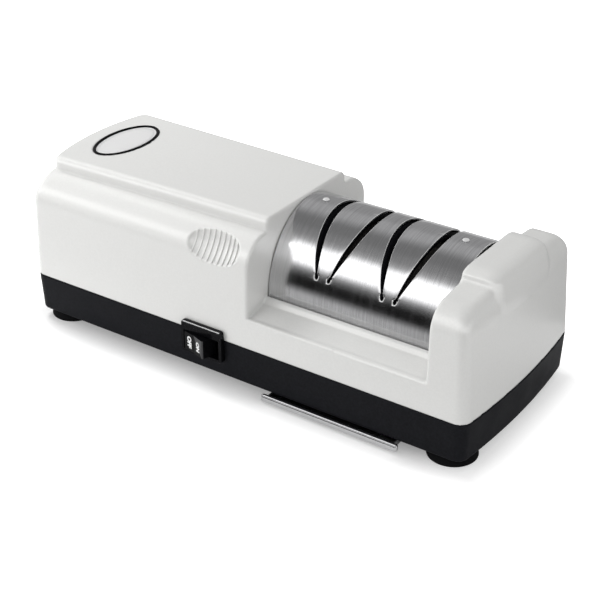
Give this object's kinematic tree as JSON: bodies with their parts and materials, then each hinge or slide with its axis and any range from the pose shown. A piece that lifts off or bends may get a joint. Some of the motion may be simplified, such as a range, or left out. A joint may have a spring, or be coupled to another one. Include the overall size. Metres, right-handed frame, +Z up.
{
  "type": "electric knife sharpener",
  "caption": "Bench-top electric knife sharpener: moulded motor body, slotted steel hood over the grinding wheels, bearing pillar, rocker switch, rubber feet and a slide-out dust tray.",
  "frame": {"origin": "on the table under the middle of the body", "axes": "+X along the body from the motor end to the pillar end, -Y towards the user at the switch side, +Z up"},
  "size_m": [0.27, 0.1222, 0.0904],
  "materials": {
    "white_plastic": "satin moulded plastic",
    "black_plastic": "fine textured moulded plastic",
    "gloss_black": "polished moulded plastic",
    "rubber": "matt rubber",
    "brushed_steel": "brushed across the hood",
    "bright_steel": "bright zinc or nickel plate",
    "laminations": "oiled sheet steel stack",
    "copper": "enamelled winding wire",
    "cast_aluminium": "as cast",
    "bronze": "sintered bronze",
    "coarse_grit": "coarse bonded abrasive",
    "fine_grit": "fine bonded abrasive",
    "fan_plastic": "moulded nylon",
    "badge_silver": "satin silver, left bare",
    "film_box": "moulded plastic"
  },
  "bodies": {
    "body": {"upper_housing": "white_plastic", "base": "black_plastic", "steel_cover": "brushed_steel", "blade_guide": "black_plastic", "cover_rivet_left": "bright_steel", "cover_rivet_right": "bright_steel", "badge_plate": "badge_silver", "badge_ring": "gloss_black", "cord_gland": "rubber", "foot_1": "rubber", "foot_screw_1": "bright_steel", "foot_2": "rubber", "foot_screw_2": "bright_steel", "foot_3": "rubber", "foot_screw_3": "bright_steel", "foot_4": "rubber", "foot_screw_4": "bright_steel", "case_screw_1": "bright_steel", "case_screw_2": "bright_steel", "case_screw_3": "bright_steel", "case_screw_4": "bright_steel", "switch_housing": "gloss_black", "switch_terminal_1": "bronze", "switch_terminal_2": "bronze", "motor_stator": "laminations", "stator_winding": "copper", "motor_bracket_left": "cast_aluminium", "motor_bracket_right": "cast_aluminium", "motor_pad_left": "rubber", "motor_pad_right": "rubber", "motor_bush_left": "bronze", "motor_bush_right": "bronze", "motor_bolt_1": "bright_steel", "motor_bolt_2": "bright_steel", "motor_bolt_3": "bright_steel", "motor_bolt_4": "bright_steel", "motor_screw_1": "bright_steel", "motor_screw_2": "bright_steel", "motor_screw_3": "bright_steel", "motor_screw_4": "bright_steel", "run_capacitor": "film_box", "terminal_block": "film_box", "outboard_pedestal": "cast_aluminium", "outboard_bush": "bronze", "pedestal_screw_1": "bright_steel", "pedestal_screw_2": "bright_steel"},
    "rotor": {"motor_shaft": "bright_steel", "rotor_core": "laminations", "cooling_fan": "fan_plastic", "coarse_wheel": "coarse_grit", "coarse_hub": "cast_aluminium", "fine_wheel": "fine_grit", "fine_hub": "cast_aluminium", "wheel_spacer": "cast_aluminium", "lock_washer": "bright_steel", "lock_nut": "bright_steel"},
    "rocker": {"switch_rocker": "gloss_black"},
    "tray": {"dust_tray": "bright_steel"}
  },
  "joints": [
    {"name": "shaft_spin", "type": "hinge", "parent": "body", "child": "rotor", "pos_m": [0, 0, 0.052], "axis": [1, 0, 0], "continuous": true},
    {"name": "switch_rock", "type": "hinge", "parent": "body", "child": "rocker", "pos_m": [-0.01685, -0.0472, 0.0212], "axis": [0, 0, 1], "range_deg": [0, 30]},
    {"name": "tray_slide", "type": "slide", "parent": "body", "child": "tray", "axis": [0, -1, 0], "range_m": [0, 0.075]}
  ]
}
